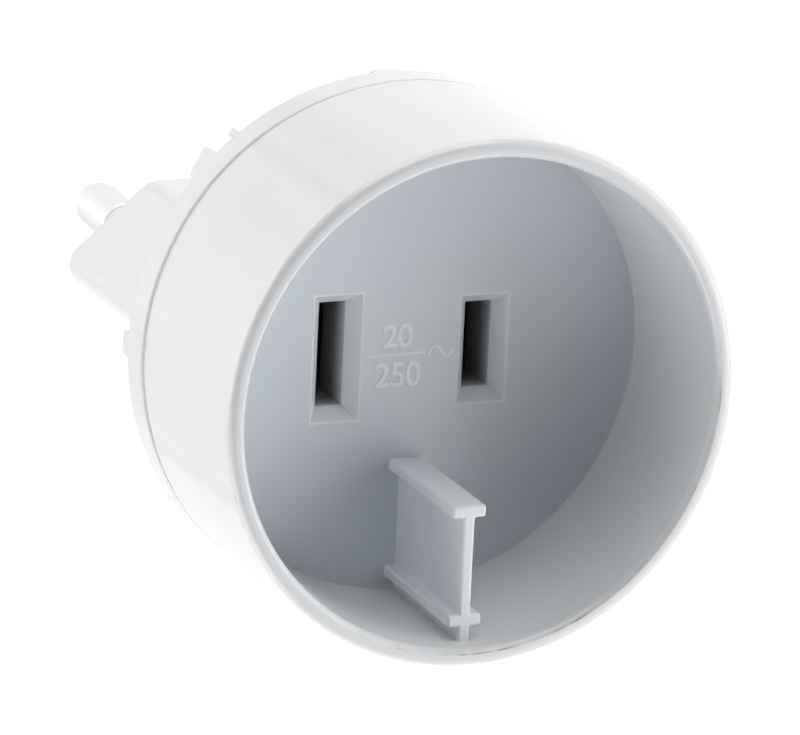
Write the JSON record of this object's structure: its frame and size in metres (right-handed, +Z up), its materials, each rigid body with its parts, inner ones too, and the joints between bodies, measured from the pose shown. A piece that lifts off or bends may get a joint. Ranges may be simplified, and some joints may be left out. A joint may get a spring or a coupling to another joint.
{
  "type": "travel adapter",
  "caption": "White round plug adapter: a cup with polarised flat-blade slots and a barrier fin in front, a six-sided nose with sleeved round pins behind.",
  "frame": {"origin": "middle of the plug nose's end face, between the pins", "axes": "+Y along the adapter's axis, the way the pins point into the wall socket; +Z up, away from the barrier fin; +X to the right seen from the cup's mouth"},
  "size_m": [0.0436, 0.0663, 0.0436],
  "materials": {
    "body_plastic": "glossy white moulding",
    "pin_metal": "nickel plated brass",
    "sleeve_plastic": "matt moulded sleeve",
    "contact_brass": "plain rolled strip"
  },
  "bodies": {
    "root": {"front_cup": "body_plastic", "rear_cover": "body_plastic", "pin_left": "pin_metal", "pin_right": "pin_metal", "sleeve_left": "sleeve_plastic", "sleeve_right": "sleeve_plastic", "contact_left": "contact_brass", "contact_right": "contact_brass"}
  },
  "joints": []
}
